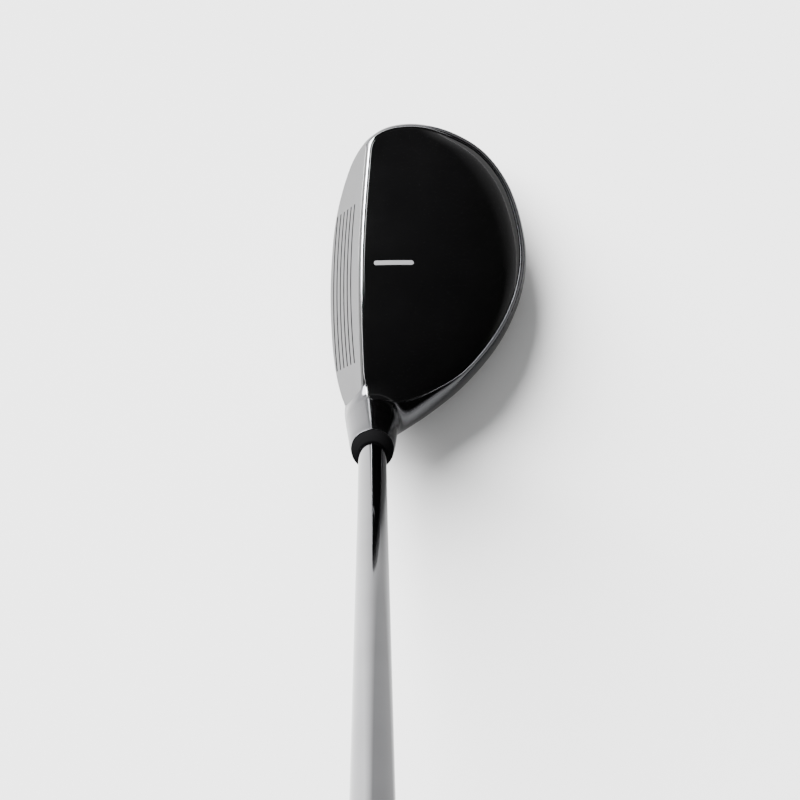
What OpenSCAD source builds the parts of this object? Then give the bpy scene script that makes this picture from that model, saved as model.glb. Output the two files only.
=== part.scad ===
// Hybrid golf club, right-handed, standing at address.
// Frame: +Z up, Z = 0 is the ground, the target lies along -Y and the golfer stands on the +X side.
// X = 0 is the middle of the face, and the shaft axis lies in the plane Y = 0.

/* [Club] */
// Length along the shaft axis, from the ground to the butt end
club_length = 1010; // [960:5:1060]
// Lie angle between the shaft and the ground
lie = 60; // [57:0.5:63]
// Loft angle of the face
loft = 21; // [17:0.5:25]
// Distance from the face centre to the point where the shaft axis meets the ground
axis_offset = 34; // [32:0.5:36]

/* [Head] */
// Height of the top line above the ground at the middle of the head
top_line_height = 34.6; // [32:0.2:37]
// How far the leading edge lies in front of the shaft axis
leading_edge_lead = 15.7; // [14:0.1:17]
// Height of the leading edge above the ground
leading_edge_height = 5; // [4:0.1:6]
// Radius of the heel to toe bulge of the face
bulge_radius = 320; // [250:10:400]
// Thickness of the welded face plate
face_thickness = 2.4; // [2:0.1:3]
// Thickness of the crown plate
crown_thickness = 0.9; // [0.7:0.1:1.2]
// Thickness of the cast wall
wall_thickness = 1.6; // [1.2:0.1:2]
// Thickness of the sole plate
sole_thickness = 1.5; // [1.2:0.1:2]
// Width of the polished lip around the crown plate
lip_width = 1; // [0.8:0.1:1.4]
// Width of the ledge that carries the crown plate
ledge_width = 4; // [3:0.5:5]
// Thickness of the ledge
ledge_thickness = 1.2; // [1:0.1:1.6]

/* [Weights and trim] */
// Thread diameter of the sole weight
weight_diameter = 10; // [8:0.5:11]
// Outer diameter of the welded port around the sole weight
port_diameter = 15; // [14:0.5:16]
// Height of the port inside the sole
port_height = 8; // [7:0.5:9]
// Width across the rear weight bar
bar_width = 7; // [5:0.5:8]
// Height of the rear weight bar
bar_height = 5; // [3:0.5:6]
// Diameter of the badge on the sole
badge_diameter = 20; // [16:1:22]
// Length of the alignment mark on the crown
mark_length = 14; // [8:1:16]
// Width of the alignment mark
mark_width = 1.6; // [1:0.2:2]

/* [Face grooves] */
// Number of scorelines
groove_count = 6; // [4:1:7]
// Distance between scorelines
groove_pitch = 3.6; // [3:0.1:3.6]
// Distance from the leading edge up to the first scoreline
groove_start = 4.4; // [3.5:0.1:5]
// Length of each scoreline
groove_length = 58; // [40:1:64]
// Width of each scoreline
groove_width = 0.8; // [0.5:0.1:1]
// Depth of each scoreline
groove_depth = 0.4; // [0.3:0.1:0.5]

/* [Hosel and ferrule] */
// Distance from the ground to the hosel top, along the shaft axis
hosel_top = 58; // [56:0.5:60]
// Depth of the hosel bore
bore_depth = 32; // [28:1:34]
// Diameter of the hosel at its top
hosel_diameter = 14.4; // [13.6:0.1:15]
// Visible length of the ferrule
ferrule_length = 4.6; // [4:0.2:8]

/* [Shaft] */
// Diameter of the parallel tip
tip_diameter = 9.4; // [9.2:0.05:9.5]
// Diameter of the parallel butt
butt_diameter = 15.24; // [14.8:0.02:15.4]
// Length of the parallel tip above the hosel
tip_parallel = 55; // [40:5:80]
// Length of the parallel butt
butt_parallel = 34; // [20:2:60]
// Wall thickness at the tip
tip_wall = 0.7; // [0.6:0.05:1]
// Wall thickness at the butt
butt_wall = 0.4; // [0.35:0.05:0.6]
// Thickness of the epoxy film around the tip
epoxy_film = 0.1; // [0.05:0.01:0.15]
// Length of the brass swing-weight plug in the tip
plug_length = 12; // [8:1:20]
// Length of the plain band around the shaft
band_length = 26; // [20:1:30]
// Distance from the ground to the lower end of the band
band_start = 690; // [660:5:700]
// Thickness of the band
band_thickness = 0.08; // [0.06:0.01:0.1]

/* [Grip] */
// Length of the grip with its cap
grip_length = 267; // [255:1:275]
// Outer diameter at the grip's mouth
grip_mouth_diameter = 18; // [17:0.2:19]
// Outer diameter at the butt
grip_butt_diameter = 26.6; // [25:0.2:28]
// Diameter of the cap
cap_diameter = 28.4; // [27.4:0.2:30]
// Thickness of the cap's end
cap_end = 4; // [3:0.5:5]
// Diameter of the vent hole in the cap
vent_diameter = 2.6; // [2:0.1:3.2]
// Thickness of the double-sided tape
tape_thickness = 0.2; // [0.15:0.01:0.25]

/* [Hidden] */
$fn = 96;

// The widest outline of the head in plan: x, y, and how far inside it the crown rim lies.
// It runs from the heel around the back to the toe, and closes in front of the face.
OUTLINE = [
    [53, 4, 9.5], [50.5, 13, 8], [44, 22.5, 5], [34, 34, 2.6], [20, 45.5, 2.5],
    [5, 53, 2.6], [-10, 56.2, 2.8], [-25, 54.8, 2.8], [-40, 49.8, 2.8], [-51.5, 41, 3],
    [-58, 29.5, 3.3], [-60.5, 17, 3.4], [-59, 6, 3.5], [-54, -1.8, 3.2], [-44, -11, 3],
    [-25, -21, 3], [0, -25, 3], [25, -21, 3], [42, -13.5, 5], [51, -5, 8.5]
];
// Stations per stretch of the outline, and rings across a plate
steps = 3;
rings = 5;
// Points in each quarter of the wall's profile
quarter = 4;
stations = len(OUTLINE) * steps;
all_stations = [0 : stations - 1];
head_middle = [-4, 18];
// Distance from the widest outline to the edge of the sole, and how high the widest level lies
sole_inset = 8.5;
wide_level = 0.45;
// The cast heel is solid from here to the hosel
heel_x = 41;
// Recess that takes the badge, and the gap around it
badge_depth = 0.6;
badge_gap = 0.1;
// Head of the sole weight: how much wider than the thread, how thick, and how deep it sits
screw_rim = 1.4;
screw_head = 1.9;
screw_sink = 0.3;
washer_thickness = 0.4;
key_size = 4.4;
// The sole weight, the badge and the glue lie at these points in plan
weight_place = [-6, 34];
badge_place = [-6, 6];
glue_place = [-30, 14];
mark_place = [-5, 0.5];
// Stations between which the wall is hollow; between them, around the heel, it is solid
band_first = 4;
band_last = 46;
// Stations at both ends of the rear weight bar
bar_first = 13;
bar_last = 26;

counterbore = screw_sink + screw_head + washer_thickness;
bore_diameter = tip_diameter + 2 * epoxy_film;
bore_bottom = hosel_top - bore_depth;
hosel_foot = bore_bottom - 4;
shaft_start = bore_bottom + 1;
taper_start = hosel_top + tip_parallel;
shaft_end = club_length - cap_end;
taper_end = shaft_end - butt_parallel;
grip_mouth = club_length - grip_length;

// Smooth curve through four neighbouring control points
function spline(a, b, c, d, u) = 0.5 * (
    2 * b + (c - a) * u + (2 * a - 5 * b + 4 * c - d) * u * u
    + (3 * b - a - 3 * c + d) * u * u * u
);
function outline(i) = let (
    n = len(OUTLINE),
    k = floor(i / steps) % n
) spline(
    OUTLINE[(k + n - 1) % n], OUTLINE[k], OUTLINE[(k + 1) % n], OUTLINE[(k + 2) % n],
    (i % steps) / steps
);
function outward(i) = let (
    t = outline((i + 1) % stations) - outline((i + stations - 1) % stations)
) [t.y, -t.x] / norm([t.x, t.y]);

// The top line: its height and its place in front of the shaft axis
function top_height(x) = top_line_height - 0.0011 * pow(x + 5, 2) - 3.9e-7 * pow(x + 5, 4);
function top_line_y(x) = (top_height(x) - leading_edge_height) * tan(loft)
    + x * x / (2 * bulge_radius * cos(loft)) - leading_edge_lead;
// Heights of the crown and of the sole over a point in plan
function crown_height(x, y) = let (back = y - top_line_y(x), b = max(0, back))
    top_height(x) + 0.14 * back - 0.00088 * pow(b, 2.5) - 8e-5 * pow(x + 5, 2) * b;
function sole_height(x, y) = 0.0022 * x * x + 0.0045 * pow(y - 18, 2) + 1.2e-6 * pow(x, 4);

// Points at a station: inside the outline, on the crown's rim and on the sole's edge
function at(i, inset, z) = let (o = outline(i), n = outward(i))
    [o.x - n.x * inset, o.y - n.y * inset, z];
function rim(i, inset, drop) = let (p = at(i, outline(i).z + inset, 0))
    [p.x, p.y, crown_height(p.x, p.y) - drop];
function foot(i, inset, lift) = let (p = at(i, sole_inset + inset, 0))
    [p.x, p.y, sole_height(p.x, p.y) + lift];
// The wall's profile from the crown's rim to the sole's edge, moved inwards
function wall(i, inset, drop, lift) = let (
    r = outline(i).z,
    top = rim(i, inset, drop).z,
    low = foot(i, inset, lift).z,
    mid = low + wide_level * (top - low)
) [
    for (j = [0 : quarter]) let (a = 90 * j / quarter)
        at(i, inset + r * (1 - sin(a)), mid + (top - mid) * cos(a)),
    for (j = [1 : quarter]) let (a = 90 * j / quarter)
        at(i, inset + sole_inset * (1 - cos(a)), mid - (mid - low) * sin(a))
];
function reversed(l) = [for (i = [len(l) - 1 : -1 : 0]) l[i]];

// Height over a point of the crown's or the sole's surface, with an offset
function height(kind, q) = kind[0] == "crown" ? crown_height(q.x, q.y) + kind[1]
    : sole_height(q.x, q.y) + kind[1];
// Rings of points from the head's middle out to an edge curve
function web(edge, kind) = [
    for (k = [1 : rings]) [
        for (p = edge) let (q = head_middle + ([p.x, p.y] - head_middle) * k / rings)
            [q.x, q.y, height(kind, q)]
    ]
];
function hub(kind) = [head_middle.x, head_middle.y, height(kind, head_middle)];
// Faces that join the points of two neighbouring stations
function quad(a, b, c, d) = [[a, b, c], [a, c, d]];

// Closed solid through one closed loop of points per station, with an end at both sides
module band_solid(loops) {
    n = len(loops);
    m = len(loops[0]);
    sides = [
        for (i = [0 : n - 2]) for (j = [0 : m - 1]) let (l = (j + 1) % m)
            each quad(i * m + j, i * m + l, (i + 1) * m + l, (i + 1) * m + j)
    ];
    ends = [[for (j = [m - 1 : -1 : 0]) j], [for (j = [0 : m - 1]) (n - 1) * m + j]];
    polyhedron([for (l = loops) for (p = l) p], concat(sides, ends));
}

// Closed solid between an upper and a lower surface, with a side from one edge to the other
module capped_solid(upper_edge, upper_kind, side_rings, lower_edge, lower_kind) {
    n = stations;
    layers = concat(web(upper_edge, upper_kind), side_rings, reversed(web(lower_edge, lower_kind)));
    count = len(layers);
    points = concat([for (l = layers) for (p = l) p], [hub(upper_kind), hub(lower_kind)]);
    faces = [
        for (i = all_stations) let (j = (i + 1) % n, last = (count - 1) * n) each concat(
            [[count * n, j, i], [count * n + 1, last + i, last + j]],
            [for (k = [0 : count - 2]) each quad(k * n + i, k * n + j, (k + 1) * n + j, (k + 1) * n + i)]
        )
    ];
    polyhedron(points, faces);
}
module crown_slab(inset, top, bottom) {
    edge = [for (i = all_stations) rim(i, inset, 0)];
    capped_solid(edge, ["crown", -top], [], edge, ["crown", -bottom]);
}
module sole_slab(inset, bottom, top) {
    edge = [for (i = all_stations) foot(i, inset, 0)];
    capped_solid(edge, ["sole", top], [], edge, ["sole", bottom]);
}
// The whole head as one solid, moved inwards, with its crown and sole moved separately
module head_solid(inset, drop, lift) {
    profiles = [for (i = all_stations) wall(i, inset, drop, lift)];
    last = 2 * quarter;
    capped_solid(
        [for (i = all_stations) rim(i, inset, 0)], ["crown", -drop],
        [for (j = [1 : last - 1]) [for (i = all_stations) profiles[i][j]]],
        [for (i = all_stations) foot(i, inset, 0)], ["sole", lift]
    );
}

// Places children in the face's frame: X to the heel, Z up the face, the leading edge at 0
module on_face() {
    translate([0, -leading_edge_lead, leading_edge_height]) rotate([-loft, 0, 0]) children();
}
// Everything behind a surface that lies the given depth behind the face
module behind_face(depth) {
    on_face() translate([0, bulge_radius, -40]) cylinder(r = bulge_radius - depth, h = 120);
}
// Everything on the heel side of the cast heel's boundary
module heel_side() {
    translate([heel_x, -60, -10]) cube([60, 140, 80]);
}
// Places children on the shaft axis at a distance from the ground
module on_shaft(d) {
    translate([axis_offset, 0, 0]) rotate([0, 90 - lie, 0]) translate([0, 0, d]) children();
}
// Outer and inner radius of the shaft at a distance from the ground
function blend(d, a, b) = a + (b - a) * min(1, max(0, (d - taper_start) / (taper_end - taper_start)));
function shaft_radius(d) = blend(d, tip_diameter / 2, butt_diameter / 2);
function shaft_bore(d) = blend(d, tip_diameter / 2 - tip_wall, butt_diameter / 2 - butt_wall);

module hosel() {
    r = hosel_diameter / 2;
    on_shaft(0) rotate_extrude() polygon([
        [0, hosel_foot], [r + 1, hosel_foot], [r + 3, hosel_top - 28], [r + 1.9, hosel_top - 19],
        [r + 1.1, hosel_top - 11], [r + 0.6, hosel_top - 4], [r, hosel_top - 0.4],
        [r - 0.4, hosel_top], [0, hosel_top]
    ]);
}
module hosel_bore() {
    on_shaft(bore_bottom) cylinder(d = bore_diameter, h = bore_depth + 1);
}
module head_body() {
    color("gainsboro") difference() {
        intersection() {
            band_solid([
                for (i = [band_first : band_last]) concat(
                    [rim(i, lip_width, 0), rim(i, lip_width, crown_thickness),
                    rim(i, ledge_width, crown_thickness),
                    rim(i, ledge_width, crown_thickness + ledge_thickness)],
                    wall(i, wall_thickness, crown_thickness + ledge_thickness, sole_thickness),
                    reversed(wall(i, 0, 0, 0))
                )
            ]);
            behind_face(face_thickness);
        }
        heel_side();
    }
}
// Solid heel of the head with the neck that takes the shaft
module hosel_neck() {
    color("gainsboro") difference() {
        union() {
            intersection() {
                head_solid(0, crown_thickness, 0);
                behind_face(0);
                heel_side();
            }
            hosel();
        }
        hosel_bore();
    }
}
// Rail behind the face's top edge: a polished lip in front, and a ledge that carries the crown
module top_rail() {
    color("gainsboro") difference() {
        intersection() {
            crown_slab(ledge_width, 0, crown_thickness + ledge_thickness);
            behind_face(face_thickness);
        }
        behind_face(face_thickness + ledge_width);
        heel_side();
        intersection() {
            crown_slab(lip_width, -1, crown_thickness);
            behind_face(face_thickness + lip_width);
        }
    }
}
module crown_plate() {
    color("black") difference() {
        intersection() {
            crown_slab(lip_width, 0, crown_thickness);
            behind_face(face_thickness + lip_width);
        }
        hosel();
    }
}
module face_plate() {
    middle = bulge_radius;
    color("silver") difference() {
        intersection() {
            head_solid(0, 0, 0);
            behind_face(0);
        }
        behind_face(face_thickness);
        heel_side();
        for (k = [0 : groove_count - 1]) on_face()
            translate([0, middle, groove_start + k * groove_pitch]) intersection() {
                difference() {
                    cylinder(r = middle + 1, h = groove_width, center = true);
                    cylinder(r = middle - groove_depth, h = groove_width + 1, center = true);
                }
                translate([-groove_length / 2, -middle - 2, -1]) cube([groove_length, 10, 2]);
            }
    }
}
module sole_plate() {
    color("silver") difference() {
        intersection() {
            sole_slab(0, 0, sole_thickness);
            behind_face(face_thickness);
        }
        heel_side();
        translate([weight_place.x, weight_place.y, -1]) cylinder(d = port_diameter, h = 20);
        intersection() {
            translate([badge_place.x, badge_place.y, -1]) cylinder(d = badge_diameter, h = 20);
            sole_slab(0, -1, badge_depth);
        }
    }
}

// Bar cast into the back of the head, on the sole between two stations
module rear_weight_bar() {
    color("dimgray") band_solid([
        for (i = [bar_first : bar_last]) let (
            p = foot(i, 0, sole_thickness),
            q = foot(i, bar_width, sole_thickness)
        ) [q, p, p + [0, 0, bar_height], q + [0, 0, bar_height]]
    ]);
}
module weight_port() {
    z = sole_height(weight_place.x, weight_place.y);
    color("silver") translate([weight_place.x, weight_place.y, z]) difference() {
        cylinder(d = port_diameter, h = port_height);
        translate([0, 0, -1]) cylinder(d = weight_diameter, h = port_height + 2);
        translate([0, 0, -1]) cylinder(d = weight_diameter + 2 * screw_rim + 0.2, h = 1 + counterbore);
    }
}
module weight_screw() {
    z = sole_height(weight_place.x, weight_place.y) + screw_sink;
    color("dimgray") translate([weight_place.x, weight_place.y, z]) difference() {
        union() {
            cylinder(d = weight_diameter + 2 * screw_rim, h = screw_head);
            cylinder(d = weight_diameter - 0.1, h = port_height - 2 * screw_sink);
        }
        translate([0, 0, -1]) cylinder(d = key_size, h = 4, $fn = 6);
    }
}
module screw_washer() {
    z = sole_height(weight_place.x, weight_place.y) + screw_sink + screw_head;
    color("black") translate([weight_place.x, weight_place.y, z]) difference() {
        cylinder(d = weight_diameter + 2 * screw_rim - 0.2, h = washer_thickness);
        translate([0, 0, -1]) cylinder(d = weight_diameter, h = 3);
    }
}
module sole_badge() {
    color("black") intersection() {
        translate([badge_place.x, badge_place.y, -1]) cylinder(d = badge_diameter - 2 * badge_gap, h = 20);
        sole_slab(0, badge_gap, badge_depth);
    }
}
module rattle_glue() {
    z = sole_height(glue_place.x, glue_place.y);
    color("ivory") intersection() {
        translate([glue_place.x, glue_place.y, z]) rotate_extrude() polygon([
            [0, -3], [11, -3], [11, 1.6], [9.5, 3.4], [7, 4.6], [4, 5.3], [0, 5.6]
        ]);
        head_solid(wall_thickness, crown_thickness + ledge_thickness, sole_thickness);
    }
}
// Slim bar on the crown that points at the face
module alignment_mark() {
    color("white") intersection() {
        translate([mark_place.x - mark_width / 2, mark_place.y, 20]) cube([mark_width, mark_length, 40]);
        crown_slab(lip_width, -0.1, 0);
    }
}

module ferrule() {
    r = hosel_diameter / 2;
    b = tip_diameter / 2;
    l = ferrule_length;
    color("black") on_shaft(hosel_top) rotate_extrude() polygon([
        [b, 0], [r, 0], [r, 0.16 * l], [r - 0.12 * (r - b), 0.36 * l],
        [r - 0.4 * (r - b), 0.68 * l], [r - 0.76 * (r - b), 0.92 * l], [b, l]
    ]);
}
module tip_epoxy() {
    color("tan") on_shaft(bore_bottom) rotate_extrude() polygon([
        [0, 0], [bore_diameter / 2, 0], [bore_diameter / 2, bore_depth],
        [tip_diameter / 2, bore_depth], [tip_diameter / 2, 1], [0, 1]
    ]);
}
module tip_plug() {
    color("goldenrod") on_shaft(shaft_start) cylinder(d = tip_diameter - 2 * tip_wall, h = plug_length);
}
module shaft() {
    color("lightgray") on_shaft(0) rotate_extrude() polygon([
        for (d = [shaft_start, taper_start, taper_end, shaft_end]) [shaft_radius(d), d],
        for (d = [shaft_end, taper_end, taper_start, shaft_start]) [shaft_bore(d), d]
    ]);
}
// Sleeve around the shaft between two distances from the ground
module sleeve(from, to, thickness) {
    on_shaft(0) rotate_extrude() polygon([
        [shaft_radius(from), from], [shaft_radius(from) + thickness, from],
        [shaft_radius(to) + thickness, to], [shaft_radius(to), to]
    ]);
}
module shaft_band() {
    color("dimgray") sleeve(band_start, band_start + band_length, band_thickness);
}
module grip_tape() {
    color("white") on_shaft(0) rotate_extrude() polygon([
        for (d = [grip_mouth + 2, taper_end, shaft_end]) [shaft_radius(d), d],
        for (d = [shaft_end, taper_end, grip_mouth + 2]) [shaft_radius(d) + tape_thickness, d]
    ]);
}
module grip_sleeve() {
    color("black") on_shaft(0) rotate_extrude() polygon([
        [shaft_radius(grip_mouth), grip_mouth], [grip_mouth_diameter / 2 - 0.6, grip_mouth],
        [grip_mouth_diameter / 2, grip_mouth + 0.8], [grip_butt_diameter / 2, shaft_end],
        for (d = [shaft_end, taper_end, grip_mouth + 2]) [shaft_radius(d) + tape_thickness, d],
        [shaft_radius(grip_mouth + 2), grip_mouth + 2]
    ]);
}
module grip_cap() {
    r = cap_diameter / 2;
    color("black") on_shaft(shaft_end) rotate_extrude() polygon([
        [vent_diameter / 2, 0], [r - 0.6, 0], [r, 0.8], [r, cap_end - 1.6], [r - 1.2, cap_end - 0.4],
        [r - 2.6, cap_end], [vent_diameter / 2, cap_end]
    ]);
}

head_body();
hosel_neck();
top_rail();
face_plate();
crown_plate();
sole_plate();
rear_weight_bar();
weight_port();
weight_screw();
screw_washer();
sole_badge();
rattle_glue();
alignment_mark();
ferrule();
tip_epoxy();
tip_plug();
shaft();
shaft_band();
grip_tape();
grip_sleeve();
grip_cap();
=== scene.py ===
"""Looks of the hybrid golf club. The club is worked out in millimetres and stored in metres."""

import math
from itertools import product

import bmesh
import bpy
import numpy as np
from mathutils import Matrix, Vector


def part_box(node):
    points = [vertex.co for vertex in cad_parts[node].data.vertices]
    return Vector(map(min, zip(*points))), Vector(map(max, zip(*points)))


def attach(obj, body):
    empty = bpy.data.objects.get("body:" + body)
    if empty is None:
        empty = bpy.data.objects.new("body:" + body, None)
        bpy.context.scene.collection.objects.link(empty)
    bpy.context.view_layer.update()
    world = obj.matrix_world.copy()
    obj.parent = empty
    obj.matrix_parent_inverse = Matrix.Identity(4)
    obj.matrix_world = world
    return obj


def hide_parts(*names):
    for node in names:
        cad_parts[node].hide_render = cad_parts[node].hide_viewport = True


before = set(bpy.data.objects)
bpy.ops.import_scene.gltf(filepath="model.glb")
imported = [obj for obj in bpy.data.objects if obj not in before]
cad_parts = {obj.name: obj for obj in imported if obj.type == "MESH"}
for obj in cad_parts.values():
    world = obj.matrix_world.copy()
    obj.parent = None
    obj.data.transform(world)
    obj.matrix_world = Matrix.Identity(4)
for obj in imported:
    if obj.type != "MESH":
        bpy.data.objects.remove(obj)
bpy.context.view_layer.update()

MM = 0.001

# ---------------------------------------------------------------- driving dimensions, as in the CAD source
LIE = math.radians(60)
LOFT = math.radians(21)
AXIS_OFFSET = 34.0
TOP_LINE = 34.6
LEAD = 15.7
LEAD_HEIGHT = 5.0
BULGE = 320.0
SOLE_INSET = 8.5
WIDE_LEVEL = 0.45
GROOVES = 6
GROOVE_PITCH = 3.6
GROOVE_START = 4.4
GROOVE_LENGTH = 58.0
GROOVE_WIDTH = 1.0
GROOVE_DEPTH = 0.55
HOSEL_TOP = 58.0
HOSEL_RADIUS = 7.2

# Widest outline of the head in plan: x, y, and how far inside it the crown rim lies
OUTLINE = [
    [53, 4, 9.5], [50.5, 13, 8], [44, 22.5, 5], [34, 34, 2.6], [20, 45.5, 2.5],
    [5, 53, 2.6], [-10, 56.2, 2.8], [-25, 54.8, 2.8], [-40, 49.8, 2.8], [-51.5, 41, 3],
    [-58, 29.5, 3.3], [-60.5, 17, 3.4], [-59, 6, 3.5], [-54, -1.8, 3.2], [-44, -11, 3],
    [-25, -21, 3], [0, -25, 3], [25, -21, 3], [42, -13.5, 5], [51, -5, 8.5],
]
# Stations in each span of the outline
SPAN_STEPS = 80

# How proud the crown plate stands, and how far behind the top line it starts
CROWN_LIFT = 0.35
CROWN_BACK = 1.3
# Its edge drops towards the back of the head: how far, from how far behind the top line and over what
# distance it sets in, and how wide the slope at the edge is
CROWN_DROP = 0.42
CROWN_DROP_START = 16
CROWN_DROP_SPAN = 14
CROWN_FADE = 4.2
# Rounding between the face and the wall, and the fillet of the neck, which grows low on the heel
FACE_ROUNDING = 1.4
FILLET = 4.5
HEEL_FILLET = 4.5
HEEL_FILLET_TOP = 26
HEEL_FILLET_SPAN = 12
# Grid that the cast head is meshed on
NET_STEP = 0.5
NET_LOW = np.array([-64.0, -20.0, -2.0])
NET_HIGH = np.array([72.0, 60.0, 56.0])
# The neck's skin ends inside the turned rim, which starts below it
SKIN_END = HOSEL_TOP - 5
RIM_START = HOSEL_TOP - 8.5

SHAFT_FOOT = np.array([AXIS_OFFSET, 0.0, 0.0])
SHAFT = np.array([math.cos(LIE), 0.0, math.sin(LIE)])
SHAFT_SIDE = np.array([-math.sin(LIE), 0.0, math.cos(LIE)])
SHAFT_BACK = np.array([0.0, 1.0, 0.0])


# ---------------------------------------------------------------- small helpers
def spline(points, steps, closed=True):
    """Catmull-Rom curve through the points, with the same number of steps in every span."""
    p = np.array(points, float)
    n = len(p)
    spans = n if closed else n - 1
    made = []
    for i in range(spans):
        if closed:
            a, b, c, d = p[(i - 1) % n], p[i], p[(i + 1) % n], p[(i + 2) % n]
        else:
            a, b, c, d = p[max(i - 1, 0)], p[i], p[i + 1], p[min(i + 2, n - 1)]
        for t in np.arange(steps) / steps:
            line = 2 * b + (c - a) * t
            made.append(0.5 * (line + (2 * a - 5 * b + 4 * c - d) * t**2 + (3 * b - a - 3 * c + d) * t**3))
    if not closed:
        made.append(p[-1])
    return np.array(made)


def smooth_min(a, b, k):
    """The lower of two fields, with their crease rounded over the width k."""
    h = np.clip(0.5 + 0.5 * (b - a) / k, 0, 1)
    return b + (a - b) * h - k * h * (1 - h)


def smooth_max(a, b, k):
    """The higher of two fields, with their crease rounded over the width k."""
    return -smooth_min(-a, -b, k)


def ease(t):
    """Smooth step from 0 to 1."""
    t = np.clip(t, 0, 1)
    return t * t * (3 - 2 * t)


def on_shaft(d, radius=0.0, angle=0.0):
    """Point at distance d along the shaft, at a radius and an angle round it."""
    around = math.cos(angle) * SHAFT_SIDE + math.sin(angle) * SHAFT_BACK
    return SHAFT_FOOT + d * SHAFT + radius * around


def along_shaft(node):
    """(first distance, last distance, largest radius) of a CAD node along the shaft, in mm."""
    points = np.array([v.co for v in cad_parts[node].data.vertices]) / MM - SHAFT_FOOT
    d = points @ SHAFT
    across = points - d[:, None] * SHAFT
    return d.min(), d.max(), np.linalg.norm(across, axis=1).max()


def plan_box(node):
    """Low and high corners of a CAD node in mm."""
    low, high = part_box(node)
    return np.array(low) / MM, np.array(high) / MM


# ---------------------------------------------------------------- the head as fields
def top_height(x):
    """Height of the top line, which falls off towards the toe and the heel."""
    return TOP_LINE - 0.0011 * (x + 5) ** 2 - 3.9e-7 * (x + 5) ** 4


def face_y(x, z):
    """The face surface: the loft, with a bulge from heel to toe."""
    return -LEAD + (z - LEAD_HEIGHT) * math.tan(LOFT) + x**2 / (2 * BULGE * math.cos(LOFT))


def top_line_y(x):
    return face_y(x, top_height(x))


def crown_height(x, y):
    """The crown rises a little behind the top line, and then falls towards the back."""
    back = y - top_line_y(x)
    b = np.maximum(back, 0)
    return top_height(x) + 0.14 * back - 0.00088 * b**2.5 - 8e-5 * (x + 5) ** 2 * b


def sole_height(x, y):
    """The sole touches the ground under the middle of the head, and is cambered both ways."""
    return 0.0022 * x**2 + 0.0045 * (y - 18) ** 2 + 1.2e-6 * x**4


outline = spline(OUTLINE, SPAN_STEPS)
tangent = np.roll(outline, -1, 0)[:, :2] - np.roll(outline, 1, 0)[:, :2]
tangent /= np.linalg.norm(tangent, axis=1)[:, None]
outward = np.stack([tangent[:, 1], -tangent[:, 0]], 1)
rim = outline[:, :2] - outward * outline[:, 2:3]
foot = outline[:, :2] - outward * SOLE_INSET
rim_z = crown_height(rim[:, 0], rim[:, 1])
foot_z = sole_height(foot[:, 0], foot[:, 1])
mid_z = foot_z + WIDE_LEVEL * (rim_z - foot_z)


class Plan:
    """What the head's section is at each plan point: depth inside the outline, heights, and insets."""

    def __init__(self, x, y):
        points = np.stack([np.ravel(x), np.ravel(y)], 1).astype(float)
        nearest = np.empty(len(points), int)
        for start in range(0, len(points), 4000):
            part = points[start : start + 4000]
            gap = (part[:, None, 0] - outline[:, 0]) ** 2 + (part[:, None, 1] - outline[:, 1]) ** 2
            nearest[start : start + 4000] = gap.argmin(1)
        shape = np.shape(x)
        self.depth = -np.sum((points - outline[nearest, :2]) * outward[nearest], 1).reshape(shape)
        self.rim_inset = outline[nearest, 2].reshape(shape)
        self.mid = mid_z[nearest].reshape(shape)
        self.top = np.where(
            self.depth > self.rim_inset, crown_height(x, y), rim_z[nearest].reshape(shape)
        )
        self.low = np.where(self.depth > SOLE_INSET, sole_height(x, y), foot_z[nearest].reshape(shape))

    def shell(self, z):
        """Distance outside the head without its face, from the elliptic sections of the wall."""
        upper = z >= self.mid
        inset = np.where(upper, self.rim_inset, SOLE_INSET)
        reach = np.where(upper, self.top - self.mid, self.mid - self.low)
        across = np.maximum(1 - self.depth / inset, 0)
        along = (z - self.mid) / reach
        level = np.sqrt(across**2 + along**2) + 1e-6
        slope = np.sqrt((across / inset) ** 2 + (along / reach) ** 2) / level + 1e-6
        return (level - 1) / slope


# Distance along the shaft and radius of the neck, from its root inside the heel to its top
HOSEL_PROFILE = [
    [15, 0.1], [17, 4.8], [20, 7.8], [24, 9.1], [31, 9.45], [39, 8.9], [47, 8.3], [54, 7.75],
    [HOSEL_TOP, HOSEL_RADIUS],
]


def hosel_radius(d):
    curve = spline(HOSEL_PROFILE, 12, closed=False)
    return np.interp(d, curve[:, 0], curve[:, 1])


def hosel(x, y, z, end):
    """Distance outside the hosel neck, which ends at a distance along the shaft."""
    along = (x - AXIS_OFFSET) * SHAFT[0] + z * SHAFT[2]
    across = np.sqrt(((x - AXIS_OFFSET) * SHAFT[2] - z * SHAFT[0]) ** 2 + y**2)
    return np.maximum(np.maximum(across - hosel_radius(along), along - end), HOSEL_PROFILE[0][0] - along)


def body(plan, x, y, z, end=HOSEL_TOP):
    """Distance outside the cast head with its hosel and the flat of its face."""
    in_front = (face_y(x, z) - y) * math.cos(LOFT)
    head = smooth_max(plan.shell(z), in_front, FACE_ROUNDING)
    fillet = FILLET + HEEL_FILLET * ease((HEEL_FILLET_TOP - z) / HEEL_FILLET_SPAN)
    return smooth_min(head, hosel(x, y, z, end), fillet)


def skin_height(x, y, upper=True):
    """Height of the cast head's upper or lower surface at plan points, with the fillet of the hosel."""
    plan = Plan(x, y)
    within = plan.top - 4 if upper else plan.low + 3
    beyond = plan.top + 12 if upper else plan.low - 3
    for _ in range(26):
        middle = (within + beyond) / 2
        outside = body(plan, x, y, middle) > 0
        beyond = np.where(outside, middle, beyond)
        within = np.where(outside, within, middle)
    return (within + beyond) / 2


# ---------------------------------------------------------------- meshes
def face_outwards(mesh):
    """Turns every face of a closed mesh outwards."""
    work = bmesh.new()
    work.from_mesh(mesh)
    bmesh.ops.recalc_face_normals(work, faces=work.faces)
    work.to_mesh(mesh)
    work.free()


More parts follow.
